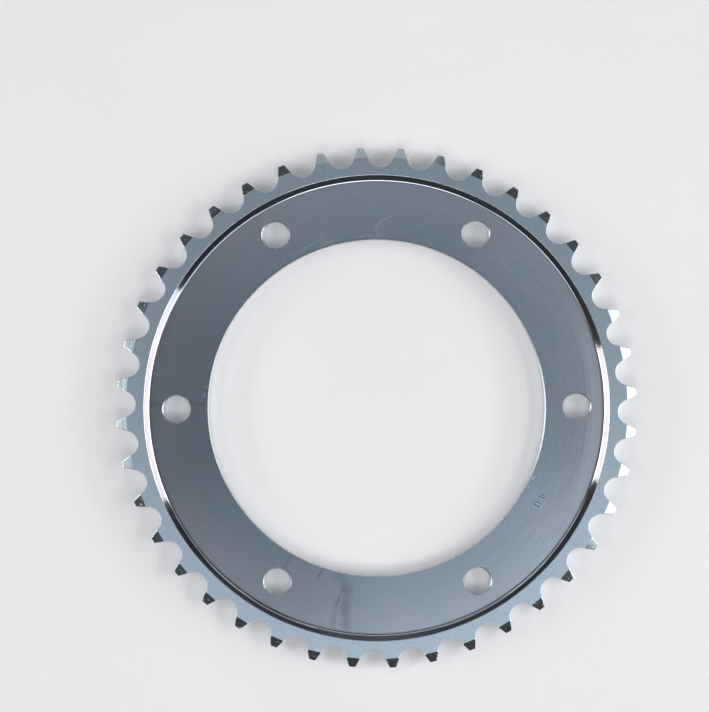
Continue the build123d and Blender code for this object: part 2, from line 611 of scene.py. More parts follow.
parts = [(rim_sheet, rim_zones()), (bore_sheet, CUT), (stamp_sheet, TURNED)]
parts += [(made, CUT) for made in bolt_sheets]
parts += [(ring_front, TURNED), (ring_back, RIM)]
wheel = bpy.data.objects.new("sprocket_wheel", closed_mesh("sprocket_wheel", *gather(parts)))
bpy.context.scene.collection.objects.link(wheel)
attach(wheel, "root")
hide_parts("sprocket")
print("the wheel rides on root and stands for the CAD node")

# %% [markdown]
# ## Nodes in few words
#
# A Blender material is a small network. A node takes values in and hands a value on, and a
# socket is the plug between two of them. The helpers below keep such a network short to read:
# one adds a node and feeds it, the others do arithmetic, mix colours and stretch a value.
#
# The last two start a group and place one in a network. A group is a network with named
# inputs and outputs that several materials can use, as a function is in a script. The
# groups here hand out only masks, values and colours, and the shader itself stays in each
# material.

# %% Node helpers
NOISE_RANGE = (0.3, 0.7)


def node(tree, kind, feeds=(), **settings):
    """Adds a node. The feeds give each input, by name or number, a socket or a value."""
    made = tree.nodes.new("ShaderNode" + kind)
    for name, value in settings.items():
        setattr(made, name, value)
    for key, source in dict(feeds).items():
        if isinstance(source, bpy.types.NodeSocket):
            tree.links.new(source, made.inputs[key])
        else:
            made.inputs[key].default_value = source
    return made


def maths(tree, operation, *values, clamp=False):
    """Result of one Math node that is fed with sockets or numbers."""
    return node(tree, "Math", enumerate(values), operation=operation, use_clamp=clamp).outputs[0]


def vectors(tree, operation, *values):
    """Vector from one Vector Math node that is fed with sockets or vectors."""
    return node(tree, "VectorMath", enumerate(values), operation=operation).outputs[0]


def measured(tree, operation, *values):
    """Number from one Vector Math node, such as a length or a dot product."""
    return node(tree, "VectorMath", enumerate(values), operation=operation).outputs["Value"]


def scaled(tree, vector, factor):
    """A vector or colour times a number."""
    return node(tree, "VectorMath", {0: vector, 3: factor}, operation="SCALE").outputs[0]


def part(tree, vector, axis):
    """The X, Y or Z part of a vector."""
    return node(tree, "SeparateXYZ", {0: vector}).outputs[axis]


def upright(tree, value):
    """Vector along Z with the length of a value."""
    return node(tree, "CombineXYZ", {2: value}).outputs[0]


def mixed(tree, share, first, second):
    """Colour between two: a share of 0 gives the first and of 1 the second."""
    return node(tree, "Mix", {0: share, 6: first, 7: second}, data_type="RGBA").outputs[2]


def stretched(tree, value, low, high, start=0.0, end=1.0):
    """Moves a value from the range low to high into the range start to end, with soft ends."""
    feeds = enumerate((value, low, high, start, end))
    return node(tree, "MapRange", feeds, interpolation_type="SMOOTHSTEP").outputs[0]


def noise(tree, vector, scale, detail=2.0, roughness=0.5):
    """Smooth random value round 0.5 that changes from place to place, mostly in NOISE_RANGE."""
    feeds = {"Vector": vector, "Scale": scale, "Detail": detail, "Roughness": roughness}
    return node(tree, "TexNoise", feeds).outputs[0]


def group(name, inputs, outputs):
    """Empty node group with named sockets: its tree, its inputs and its outputs."""
    tree = bpy.data.node_groups.new(name, "ShaderNodeTree")
    for title, kind, value in inputs:
        socket = tree.interface.new_socket(title, in_out="INPUT", socket_type="NodeSocket" + kind)
        socket.default_value = value
    for title, kind in outputs:
        tree.interface.new_socket(title, in_out="OUTPUT", socket_type="NodeSocket" + kind)
    return tree, tree.nodes.new("NodeGroupInput").outputs, tree.nodes.new("NodeGroupOutput").inputs


def placed(tree, kind, **feeds):
    """Outputs of a group that is placed in a tree; a feed's underscores are its name's spaces."""
    named = {name.replace("_", " "): source for name, source in feeds.items()}
    return node(tree, "Group", named, node_tree=kind).outputs


print("helpers: one to add a node, nine to compute with it, and two for groups")

# %% [markdown]
# ## A map of the wheel
#
# Everything a lathe does to a wheel follows circles. So the first group turns the place of a
# point into what the lathe would call it: how far it is from the axis, and in which direction.
# It reads Object coordinates, which are the piece's own metres, and hands them on in mm.

# %% Group: wheel map


def build_wheel_map():
    """Radius in mm, unit direction from the axis, and place in mm.

    The flat place is the place without its height; its length is the radius.
    """
    outputs = [(title, "Vector") for title in ("Direction", "Flat", "Place")]
    tree, _, out = group("wheel_map", [], [("Radius", "Float")] + outputs)
    place = vectors(tree, "MULTIPLY", node(tree, "TexCoord").outputs["Object"], (1 / MM,) * 3)
    flat = vectors(tree, "MULTIPLY", place, (1.0, 1.0, 0.0))
    tree.links.new(measured(tree, "LENGTH", flat), out["Radius"])
    tree.links.new(vectors(tree, "NORMALIZE", flat), out["Direction"])
    tree.links.new(flat, out["Flat"])
    tree.links.new(place, out["Place"])
    return tree


WHEEL_MAP = build_wheel_map()
print("group", WHEEL_MAP.name)

# %% [markdown]
# ## The marks of the lathe
#
# A lathe tool leaves fine rings, and small changes of the cut leave soft streaks across them.
# Both are noise on the map above. The rings' noise changes fast along the radius and slowly
# round the wheel, so a ring fades in and out. The streaks' noise does the opposite.
#
# The direction is a vector and not an angle, because an angle jumps where the circle closes
# and the jump would show as a line.

# %% Group: turning grain
RING_CHANGES = 4.0
STREAK_DRIFT = 0.03


def build_turning_grain():
    """Two values round 0.5: the rings' and the streaks'."""
    inputs = [("Rings per mm", "Float", 2.0), ("Streaks", "Float", 9.0)]
    tree, given, out = group("turning_grain", inputs, [("Rings", "Float"), ("Streaks", "Float")])
    here = placed(tree, WHEEL_MAP)
    fast = upright(tree, maths(tree, "MULTIPLY", here["Radius"], given["Rings per mm"]))
    slow = scaled(tree, here["Direction"], RING_CHANGES)
    tree.links.new(noise(tree, vectors(tree, "ADD", slow, fast), 1.0, 3.0, 0.6), out["Rings"])
    drift = upright(tree, maths(tree, "MULTIPLY", here["Radius"], STREAK_DRIFT))
    round_it = scaled(tree, here["Direction"], given["Streaks"])
    streaks = noise(tree, vectors(tree, "ADD", round_it, drift), 1.0, 3.0, 0.55)
    tree.links.new(streaks, out["Streaks"])
    return tree


TURNING_GRAIN = build_turning_grain()
print("group", TURNING_GRAIN.name)

# %% [markdown]
# ## The plating's colour and grain
#
# A zinc plating is passivated in a bath, and the film it leaves is as thin as a soap bubble's.
# Where it is a little thicker it looks greener, and where it is thinner more purple. The first
# group paints that drift over patches of about two centimetres.
#
# Seen close, the plating is made of crystals. The second group is their grain: a fine noise,
# and rare specks where a crystal happens to catch the light.

# %% Groups: plating tint and grain
WHITE = (1.0, 1.0, 1.0, 1.0)
PURPLISH, GREENISH = (1.035, 0.985, 1.0, 1.0), (0.955, 1.01, 0.99, 1.0)
PATCHES_PER_MM = 0.06
SPECK_SCALE = 0.61


def build_plating_tint():
    """The colour, multiplied by a tint that drifts between purplish and greenish."""
    inputs = [("Color", "Color", (0.6, 0.65, 0.7, 1.0)), ("Amount", "Float", 1.0)]
    tree, given, out = group("plating_tint", inputs, [("Color", "Color")])
    here = placed(tree, WHEEL_MAP)
    drift = stretched(tree, noise(tree, here["Flat"], PATCHES_PER_MM), *NOISE_RANGE)
    tint = mixed(tree, drift, PURPLISH, GREENISH)
    tint = mixed(tree, given["Amount"], WHITE, tint)
    feeds = {0: 1.0, 6: given["Color"], 7: tint}
    made = node(tree, "Mix", feeds, data_type="RGBA", blend_type="MULTIPLY")
    tree.links.new(made.outputs[2], out["Color"])
    return tree


def build_plating_grain():
    """A fine grain round 0.5, and a mask of rare specks. The size is a crystal's, in mm."""
    outputs = [("Grain", "Float"), ("Specks", "Float")]
    tree, given, out = group("plating_grain", [("Size", "Float", 0.5)], outputs)
    here = placed(tree, WHEEL_MAP)
    scale = maths(tree, "DIVIDE", 1.0, given["Size"])
    tree.links.new(noise(tree, here["Place"], scale, 3.0, 0.7), out["Grain"])
    rare = noise(tree, here["Place"], maths(tree, "MULTIPLY", scale, SPECK_SCALE), 1.0)
    tree.links.new(stretched(tree, rare, 0.68, 0.76), out["Specks"])
    return tree


PLATING_TINT = build_plating_tint()
PLATING_GRAIN = build_plating_grain()
print("groups", PLATING_TINT.name, PLATING_GRAIN.name)

# %% [markdown]
# ## Scratches, stains and tool lines
#
# Wear is local: this scratch, that stain. Two small groups draw such marks as masks. One is a
# stroke between two points, soft at its sides, and a little noise on the place makes it
# wander. The other is a thin ring at one radius, which a chip under the tool leaves, and it
# fades away from one direction of the wheel.

# %% Groups: stroke mark and ring mark
WANDER_SCALE = 0.45


def build_stroke_mark():
    """Mask of a stroke between two points, in mm.

    The nearest point of the line is found as the share along it, held between 0 and 1. The
    mask falls from 1 on the line to 0 at the stroke's width.
    """
    inputs = [("Start", "Vector", (0, 0, 0)), ("End", "Vector", (1, 0, 0))]
    inputs += [("Width", "Float", 0.3), ("Wander", "Float", 0.5)]
    tree, given, out = group("stroke_mark", inputs, [("Mask", "Float")])
    here = placed(tree, WHEEL_MAP)
    feeds = {"Vector": here["Flat"], "Scale": WANDER_SCALE, "Detail": 2.0}
    cloud = node(tree, "TexNoise", feeds).outputs[1]
    shake = scaled(tree, vectors(tree, "SUBTRACT", cloud, (0.5, 0.5, 0.5)), given["Wander"])
    place = vectors(tree, "MULTIPLY", vectors(tree, "ADD", here["Flat"], shake), (1.0, 1.0, 0.0))
    offset = vectors(tree, "SUBTRACT", place, given["Start"])
    line = vectors(tree, "SUBTRACT", given["End"], given["Start"])
    done = measured(tree, "DOT_PRODUCT", offset, line)
    full = measured(tree, "DOT_PRODUCT", line, line)
    nearest = scaled(tree, line, maths(tree, "DIVIDE", done, full, clamp=True))
    distance = measured(tree, "LENGTH", vectors(tree, "SUBTRACT", offset, nearest))
    tree.links.new(stretched(tree, distance, 0.0, given["Width"], 1.0, 0.0), out["Mask"])
    return tree


def build_ring_mark():
    """Mask of a ring at a radius in mm, strongest in the Toward direction."""
    inputs = [("Radius", "Float", 90.0), ("Width", "Float", 0.2)]
    inputs += [("Toward", "Vector", (1, 0, 0)), ("Reach", "Float", 0.05)]
    tree, given, out = group("ring_mark", inputs, [("Mask", "Float")])
    here = placed(tree, WHEEL_MAP)
    away = maths(tree, "ABSOLUTE", maths(tree, "SUBTRACT", here["Radius"], given["Radius"]))
    ring = stretched(tree, away, 0.0, given["Width"], 1.0, 0.0)
    facing = measured(tree, "DOT_PRODUCT", here["Direction"], given["Toward"])
    fade = maths(tree, "DIVIDE", maths(tree, "SUBTRACT", 1.0, facing), given["Reach"])
    near = stretched(tree, fade, 0.0, 1.0, 1.0, 0.0)
    tree.links.new(maths(tree, "MULTIPLY", ring, near), out["Mask"])
    return tree


STROKE_MARK = build_stroke_mark()
RING_MARK = build_ring_mark()
print("groups", STROKE_MARK.name, RING_MARK.name)

# %% [markdown]
# ## Where the marks are
#
# The photograph looks straight down, so a pixel of it is a place on the wheel: the distance
# from the wheel's centre in pixels, times the size of a pixel, turned by the small angle at
# which the wheel was photographed. Each mark is a path of a few points, read off one by one.

# %% Places of the marks
PHOTO_WIDTH, PHOTO_HEIGHT = 709, 712
CENTRE_PIXEL = (376.7, 408.0)
PIXEL = 0.3975 * MM
ROLL = math.radians(-0.3)


def on_wheel(pixel):
    """Place in mm, in the wheel's plane, that a pixel of the photograph shows."""
    x = (pixel[0] - CENTRE_PIXEL[0]) * PIXEL / MM
    y = (CENTRE_PIXEL[1] - pixel[1]) * PIXEL / MM
    return (x * math.cos(ROLL) - y * math.sin(ROLL), x * math.sin(ROLL) + y * math.cos(ROLL), 0.0)


STAIN = ((396, 214), (388, 217), (381, 221), (376, 225), (375.5, 230), (379, 235), (380, 240))
LOOP = ((359, 239), (361, 236), (369, 236), (373, 239))
SCUFFS = ((301, 251), (313, 243), (324, 237)), ((318, 248), (333, 240))
# Painted shadow: a broad dark streak on the ring below the bore, and a side branch of it
PAINTED_SHADOW = ((339, 574), (347, 590), (345, 608), (346, 626))
SIDE_PAINTED_SHADOW = ((337, 598), (333, 626))
HOLE_LINE = ((150, 404), (208, 404.5))
FAINT_LINE = ((291, 557), (265, 603))
SCRATCHES = ((325, 568), (317, 579)), ((344, 586), (341, 592)), ((340, 597), (336, 606))
BORE_DENTS = ((527, 486), (528, 487)), ((532.5, 478), (533.5, 478.5))
SIDE_DENTS = ((206, 386), (206.5, 388)), ((204, 394), (204, 396))
print("the stain starts at", [round(v, 1) for v in on_wheel(STAIN[0])], "mm")

# %% [markdown]
# ## From masks to a metal
#
# Every finish is the same metal shader with other numbers, so the steps that all of them share
# are functions: start the metal, feed its colour, roughness and bump, shade a colour by a
# noise, and mix in the marks. A metal's colour is what it leaves of the light it mirrors, so
# the base colours are tints of zinc between 0.4 and 0.9.

# %% Material helpers
QUARTER_TURN = 0.25


def metal(name, anisotropic=0.0):
    """New metal: the material, its tree and its shader, with the constants on the shader."""
    material = bpy.data.materials.new(name)
    material.use_nodes = True
    shader = material.node_tree.nodes["Principled BSDF"]
    shader.inputs["Metallic"].default_value = 1.0
    shader.inputs["Anisotropic"].default_value = anisotropic
    shader.inputs["Anisotropic Rotation"].default_value = QUARTER_TURN
    return material, material.node_tree, shader


def bumped(tree, shader, height, strength, depth):
    """Feeds the shader's normal with a bump; the depth is in metres."""
    feeds = {"Strength": strength, "Distance": depth, "Height": height}
    tree.links.new(node(tree, "Bump", feeds).outputs[0], shader.inputs["Normal"])


def coloured(tree, shader, colour):
    """Feeds the shader's base colour."""
    tree.links.new(colour, shader.inputs["Base Color"])


def roughened(tree, shader, value, low, high):
    """Feeds the shader's roughness with a value round 0.5, stretched to a range."""
    tree.links.new(stretched(tree, value, *NOISE_RANGE, low, high), shader.inputs["Roughness"])


def shade(tree, colour, value, dark, light):
    """Darkens a colour where a value round 0.5 is low and lightens it where it is high."""
    return scaled(tree, colour, stretched(tree, value, *NOISE_RANGE, dark, light))


def ringed(tree, colour, ring, toward, reach, strength, target):
    """Mixes a colour towards a target on a ring, which is given by its radius and width in mm."""
    feeds = dict(Radius=ring[0], Width=ring[1], Toward=toward, Reach=reach)
    mask = placed(tree, RING_MARK, **feeds)["Mask"]
    return mixed(tree, maths(tree, "MULTIPLY", mask, strength), colour, target)


def stained(tree, colour, path, width, wander, strength, target):
    """Mixes a colour towards a target along a path, which is given by its pixels."""
    for start, end in zip(path, path[1:]):
        feeds = dict(Start=on_wheel(start), End=on_wheel(end), Width=width, Wander=wander)
        mask = placed(tree, STROKE_MARK, **feeds)["Mask"]
        colour = mixed(tree, maths(tree, "MULTIPLY", mask, strength), colour, target)
    return colour


print("helpers: metal, bumped, coloured, roughened, shade, ringed, stained")

# %% [markdown]
# ## The matt rim
#
# The flat rim between teeth and recess was never turned. It shows the plating on rolled steel:
# matt, slightly blue, and grainy. The grain goes into three places at once, because a crystal
# that lies askew is darker, rougher and casts a small shade. A bump with a real distance keeps
# that shade at the size of the crystals.
#
# Two slow changes lie over the grain, and both are painted light. The lower half of the wheel is
# painted lighter and the upper half darker. And the rounds of the edges are painted bright, as
# painted highlights, with the rare specks of the grain as painted glints: the surface's own
# normal says where the rounds are, because on a round it leans away from the axis.

# %% Material: zinc_rim
RIM_ZINC = (0.43, 0.53, 0.63, 1.0)
PAINTED_LIGHT_BELOW_ABOVE = (1.13, 0.87)
EDGE_HIGHLIGHT_STRENGTH = 0.8
PAINTED_HIGHLIGHT = (0.82, 0.88, 0.92, 1.0)


def build_rim():
    """Matt zinc on rolled plate."""
    material, tree, shader = metal("zinc_rim")
    fine = placed(tree, PLATING_GRAIN, Size=0.6)
    tint = placed(tree, PLATING_TINT, Color=RIM_ZINC, Amount=0.6)["Color"]
    # Painted light: the lower half of the rim is lighter and the upper half darker.
    upward = part(tree, placed(tree, WHEEL_MAP)["Direction"], "Y")
    tint = scaled(tree, tint, stretched(tree, upward, -0.6, 0.6, *PAINTED_LIGHT_BELOW_ABOVE))
    grained = shade(tree, tint, fine["Grain"], 0.92, 1.08)
    # Painted highlights: the rounds of the edges and the rare specks, as glints, are mixed towards
    # a pale colour.
    level = maths(tree, "ABSOLUTE", part(tree, node(tree, "NewGeometry").outputs["Normal"], "Z"))
    edge = stretched(tree, level, 0.6, 0.98, EDGE_HIGHLIGHT_STRENGTH, 0.0)
    light = maths(tree, "MAXIMUM", maths(tree, "MULTIPLY", fine["Specks"], 0.45), edge)
    coloured(tree, shader, mixed(tree, light, grained, PAINTED_HIGHLIGHT))
    roughened(tree, shader, fine["Grain"], 0.47, 0.37)
    bumped(tree, shader, fine["Grain"], 0.2, 0.015 * MM)
    return material


# %% [markdown]
# ## The turned ring
#
# Inside the teeth a lathe took two millimetres off, and its rings shape every reflection: they
# spread light across themselves and keep it narrow along them. That is what Anisotropic does.
# The shader's own tangent runs round the wheel's axis, so a quarter of a turn points the spread
# outwards, as on the real ring, and the long soft streaks appear without being painted.
#
# The marks of wear and of painted light sit on top: a cloudy stain near the top, scuffs, a broad
# dark streak below that is a painted shadow with real fine scratches in it, and the few deep
# tool lines on the right. Near the wall the ring has a painted highlight on the right. A dark
# line runs along the wall's foot on the lower half, and a line of painted shade along the bore
# at the upper left. The struck number is darkened as painted shade, and its mask is simply the
# depth below the ring.

# %% Material: zinc_turned
RING_ZINC = (0.495, 0.587, 0.712, 1.0)
PALE, DEEP, BLACK = (0.85, 0.93, 1.0, 1.0), (0.27, 0.335, 0.42, 1.0), (0.10, 0.12, 0.15, 1.0)

# Paths, then width and wander in mm, strength and colour
WEAR_AND_PAINTED_SHADOW = (
    ((STAIN,), 0.5, 0.8, 0.35, PALE),
    ((LOOP,), 0.5, 0.8, 0.3, PALE),
    (SCUFFS, 0.8, 1.5, 0.25, PALE),
    # Painted shadow, in which the real scratches further down the table lie
    ((PAINTED_SHADOW,), 3.4, 1.5, 0.45, DEEP),
    ((SIDE_PAINTED_SHADOW,), 2.0, 1.5, 0.3, DEEP),
    ((HOLE_LINE,), 1.3, 0.5, 0.4, DEEP),
    ((FAINT_LINE,), 1.3, 0.5, 0.25, DEEP),
    (SCRATCHES, 0.45, 1.6, 0.5, BLACK),
    (BORE_DENTS + SIDE_DENTS, 0.6, 0.4, 0.9, PALE),
)

# Radius and width in mm, direction, reach, strength and colour
RIGHT, DOWN, UPPER_LEFT = (1, 0, 0), (0, -1, 0), (-0.643, 0.766, 0)
GREY, PAINTED_RING_HIGHLIGHT = (0.25, 0.27, 0.31, 1.0), (0.74, 0.81, 0.95, 1.0)
TOOL_LINES = ((90.0, 0.2), (88.2, 0.25), (85.3, 0.3), (83.9, 0.25), (83.3, 0.25))
RING_MARKS = [(line, RIGHT, 0.08, 0.5, GREY) for line in TOOL_LINES] + [
    # Painted highlight: the outer ring lighter on the right
    ((87.5, 6.0), RIGHT, 0.16, 0.75, PAINTED_RING_HIGHLIGHT),
    ((89.95, 0.45), DOWN, 1.8, 0.6, (0.25, 0.26, 0.30, 1.0)),
    # Painted shade: a thin dark line along the bore at the upper left
    ((67.6, 0.4), UPPER_LEFT, 2.0, 0.4, GREY),
]
# Painted shade in the strokes of the struck number, strongest at their depth
STAMP_SHADE_TOP, STAMP_SHADE_FOOT = (WEB_TOP - 0.1 * MM) / MM, (WEB_TOP - 0.25 * MM) / MM
STAMP_SHADE_STRENGTH = 0.75
INNER_GAIN, OUTER_GAIN = (0.955, 0.985, 0.99, 1.0), (1.085, 1.055, 1.035, 1.0)


def build_turned():
    """Silky turned zinc."""
    material, tree, shader = metal("zinc_turned", anisotropic=0.7)
    cut = placed(tree, TURNING_GRAIN, Rings_per_mm=2.0, Streaks=7.0)
    fine = placed(tree, PLATING_GRAIN, Size=0.7)
    tint = placed(tree, PLATING_TINT, Color=RING_ZINC, Amount=1.0)["Color"]
    here = placed(tree, WHEEL_MAP)
    outward = stretched(tree, here["Radius"], 70.0, 88.0)
    tint = vectors(tree, "MULTIPLY", tint, mixed(tree, outward, INNER_GAIN, OUTER_GAIN))
    colour = shade(tree, tint, cut["Streaks"], 0.985, 1.015)
    colour = shade(tree, colour, cut["Rings"], 0.96, 1.04)
    colour = shade(tree, colour, fine["Grain"], 0.94, 1.06)
    for paths, *mark in WEAR_AND_PAINTED_SHADOW:
        for path in paths:
            colour = stained(tree, colour, path, *mark)
    for mark in RING_MARKS:
        colour = ringed(tree, colour, *mark)
    height = part(tree, here["Place"], "Z")
    # Painted shade in the struck number, by depth below the ring
    stamp_shade = stretched(tree, height, STAMP_SHADE_FOOT, STAMP_SHADE_TOP, STAMP_SHADE_STRENGTH, 0.0)
    coloured(tree, shader, mixed(tree, stamp_shade, colour, BLACK))
    roughened(tree, shader, cut["Streaks"], 0.242, 0.234)
    bumped(tree, shader, cut["Rings"], 0.15, 0.005 * MM)
    return material


# %% [markdown]
# ## Bright bevels, wall and cut sides
#
# The bevels of the teeth and the wall of the recess were finished with a fine cut, so they are
# almost mirrors: white where they face a lamp, black where they face none. Only a little of the
# rings is left on them, and the teeth have small nicks from handling.
#
# The sides of the teeth and the holes were cut straight through the plate. A blade leaves lines
# along its travel, so this noise is stretched along the wheel's axis.
#
# Two thin dark rings finish the picture, both painted shade: one in the corner where the wall
# meets the ring, on the lower half, and one on the chamfer of the bore at the upper left.

# %% Materials: zinc_bevel, zinc_wall and zinc_cut
BEVEL_ZINC, NICK = (0.65, 0.745, 0.815, 1.0), (0.85, 0.87, 0.88, 1.0)
PINKISH, BLUISH = (0.675, 0.66, 0.71, 1.0), (0.54, 0.615, 0.72, 1.0)
# Painted shade in the corner at the wall's foot, on the lower half
FOOT_PAINTED_SHADE = ((90.35, 0.5), DOWN, 2.3, 0.9, (0.16, 0.18, 0.21, 1.0))
# Painted shade on the bore's chamfer at the upper left
BORE_SHADE = ((67.37, 0.33), UPPER_LEFT, 2.0, 0.9, (0.17, 0.20, 0.23, 1.0))
CUT_ZINC = (0.72, 0.79, 0.84, 1.0)
CUT_LINES = (2.6, 2.6, 0.12)


def build_bevel():
    """Bright turned zinc with nicks."""
    material, tree, shader = metal("zinc_bevel")
    cut = placed(tree, TURNING_GRAIN, Rings_per_mm=1.6, Streaks=30.0)
    fine = placed(tree, PLATING_GRAIN, Size=0.6)
    tint = placed(tree, PLATING_TINT, Color=BEVEL_ZINC, Amount=0.5)["Color"]
    colour = shade(tree, tint, cut["Rings"], 0.86, 1.14)
    colour = shade(tree, colour, fine["Grain"], 0.93, 1.07)
    nick = maths(tree, "MULTIPLY", fine["Specks"], 0.5)
    coloured(tree, shader, mixed(tree, nick, colour, NICK))
    smooth = stretched(tree, cut["Rings"], *NOISE_RANGE, 0.12, 0.17)
    rough = maths(tree, "MULTIPLY", fine["Specks"], 0.3)
    tree.links.new(maths(tree, "ADD", smooth, rough), shader.inputs["Roughness"])
    bumped(tree, shader, cut["Rings"], 0.2, 0.004 * MM)
    return material


def build_wall():
    """Bright turned zinc of the recess's wall, with painted light: pinkish and lighter at the
    sides, bluish and darker above and below.
    """
    material, tree, shader = metal("zinc_wall")
    cut = placed(tree, TURNING_GRAIN, Rings_per_mm=0.8, Streaks=6.0)
    upward = part(tree, placed(tree, WHEEL_MAP)["Direction"], "Y")
    # Painted light: the sides, which mirror the lamps, are pinkish and lighter, and the wall above
    # and below bluish and darker.
    across = stretched(tree, maths(tree, "ABSOLUTE", upward), 0.3, 0.55)
    base = mixed(tree, across, PINKISH, BLUISH)
    tint = placed(tree, PLATING_TINT, Color=base, Amount=0.1)["Color"]
    colour = shade(tree, tint, cut["Rings"], 0.96, 1.04)
    # Painted shade at the wall's foot
    coloured(tree, shader, ringed(tree, colour, *FOOT_PAINTED_SHADE))
    roughened(tree, shader, cut["Rings"], 0.07, 0.09)
    return material


def build_cut():
    """Zinc on walls that were cut through the plate, with lines along the axis."""
    material, tree, shader = metal("zinc_cut")
    here = placed(tree, WHEEL_MAP)
    fine = placed(tree, PLATING_GRAIN, Size=0.5)
    lines = noise(tree, vectors(tree, "MULTIPLY", here["Place"], CUT_LINES), 1.0, 3.0, 0.6)
    tint = placed(tree, PLATING_TINT, Color=CUT_ZINC, Amount=0.5)["Color"]
    colour = shade(tree, shade(tree, tint, lines, 0.92, 1.08), fine["Grain"], 0.96, 1.04)
    # Painted shade on the bore's chamfer
    coloured(tree, shader, ringed(tree, colour, *BORE_SHADE))
    roughened(tree, shader, lines, 0.24, 0.32)
    bumped(tree, shader, lines, 0.3, 0.01 * MM)
    return material


for material in (build_rim(), build_turned(), build_bevel(), build_wall(), build_cut()):
    wheel.data.materials.append(material)
    print("material", material.name, "with", len(material.node_tree.nodes), "nodes")

# %% [markdown]
# ## The floor
#
# The wheel lies on a sheet of pale paper. Paper is nearly white and quite matt, here with a
# trace of violet, and a faint cloud of noise keeps it from looking like plastic.
#
# The lamps light only the paper near the wheel. Seen from low down, the paper behind them would
# be a dark stripe. So far from the wheel the paper turns into the pale colour of the room for
# the rays that show things: those of the camera, of mirrors and of glass. The rays that carry
# light from place to place don't see it, so it lights nothing.

# %% Floor
FLOOR_REACH = 6.0
FLOOR_GAP = 0.03 * MM
PAPER = (0.95, 0.94, 0.961)
PALE_START, PALE_END = 0.4, 1.0
PALE_ROOM = (0.80, 0.79, 0.81, 1.0)


def seen_directly(tree):
    """Mask of the rays that show things: 1 for camera, mirror and glass rays, else 0."""
    path = node(tree, "LightPath").outputs
    seen = maths(tree, "MAXIMUM", path["Is Camera Ray"], path["Is Glossy Ray"])
    return maths(tree, "MAXIMUM", seen, path["Is Transmission Ray"])


def build_paper():
    """Matt pale paper with a faint cloud, that turns into the pale room far from the wheel."""
    material = bpy.data.materials.new("paper")
    material.use_nodes = True
    tree = material.node_tree
    shader = tree.nodes["Principled BSDF"]
    place = node(tree, "TexCoord").outputs["Object"]
    cloud = noise(tree, place, 9.0, 4.0, 0.6)
    coloured(tree, shader, shade(tree, PAPER, cloud, 0.99, 1.01))
    shader.inputs["Roughness"].default_value = 0.9
    shader.inputs["Specular IOR Level"].default_value = 0.2
    far = stretched(tree, measured(tree, "LENGTH", place), PALE_START, PALE_END)
    room = node(tree, "Emission", {"Color": PALE_ROOM}).outputs[0]
    share = maths(tree, "MULTIPLY", far, seen_directly(tree))
    mix = node(tree, "MixShader", {0: share, 1: shader.outputs[0], 2: room})
    tree.links.new(mix.outputs[0], tree.nodes["Material Output"].inputs["Surface"])
    return material


floor_mesh = bpy.data.meshes.new("floor")
signs = ((-1, -1), (1, -1), (1, 1), (-1, 1))
corners = [(x * FLOOR_REACH, y * FLOOR_REACH, -FLOOR_GAP) for x, y in signs]
floor_mesh.from_pydata(corners, [], [(0, 1, 2, 3)])
floor_mesh.materials.append(build_paper())
floor = bpy.data.objects.new("floor", floor_mesh)
bpy.context.scene.collection.objects.link(floor)
print("floor of", 2 * FLOOR_REACH, "m")

# %% [markdown]
# ## The lamps
#
# Bright metal is lit by what it mirrors. Seen from straight above, each finish looks at its own
# part of the room: the level ring looks up and, by its streaks, a little outwards; the bevels
# look 33 degrees above the horizon; the wall looks across the wheel at the horizon itself. So
# the photograph says where the lamps stood. Two soft boxes stand low on the right and left and
# reach down to the table, because both the bevels and the wall are white there. Weak boxes
# behind and beside them give the dark bevels their tone, and high ones in front make the lower
# half of the ring brighter. The hollow at the wall's foot turns through the whole sky, so every
# strong lamp shows in it as a thin line; that is why the lamps high behind are weak.
#
# Each box is given by what it covers of the wheel's sky, in degrees, and by its radiance, which
# is the brightness that a mirror would show. Where a box is brighter in its middle it is made
# of strips. A strip lights the paper between the teeth without whitening the bevels.

# %% Lamps
LAMP_DISTANCE = 2.0

# Name, azimuth and elevation, width and height in degrees, and radiance
LAMPS = (
    ("right_foot", -5, 2, 54, 4, 2.6),
    ("right_low", -5, 7, 54, 6, 1.15),
    ("right_strip", -5, 20, 54, 8, 8.0),
    ("right_middle", -5, 32, 54, 16, 1.6),
    ("right_top", -5, 46, 54, 10, 4.6),
    ("left_foot", 179.3, 2, 34, 4, 3.0),
    ("left_low", 179.3, 7, 34, 6, 1.3),
    ("left_strip", 179.3, 20, 34, 8, 9.0),
    ("left_middle", 179.3, 32, 34, 16, 0.56),
    ("left_top", 179.3, 46, 34, 10, 4.2),
    ("back_foot", 90, 3, 30, 6, 0.5),
    ("back_middle", 90, 31, 30, 8, 0.52),
    ("back_left", 122, 17, 34, 12, 1.0),
    ("back_right", 57, 17, 34, 12, 1.2),
    ("back_top_left", 140, 45, 30, 10, 1.0),
    ("back_top_right", 40, 45, 30, 10, 1.0),
    ("back_high", 90, 56, 45, 12, 1.55),
    ("back_high_left", 135, 56, 45, 12, 1.2),
    ("front_left", 225, 45, 30, 10, 1.7),
    ("front_right", 315, 45, 30, 10, 1.3),
    ("front_high_left", 225, 56, 45, 12, 0.65),
    ("front_high", 270, 56, 45, 12, 3.2),
    ("front_top", 300, 68, 60, 14, 2.0),
    ("front_top_left", 240, 68, 60, 14, 1.0),
    ("ceiling_right", 0, 80, 90, 10, 0.5),
    ("ceiling_back", 90, 80, 90, 10, 0.3),
)


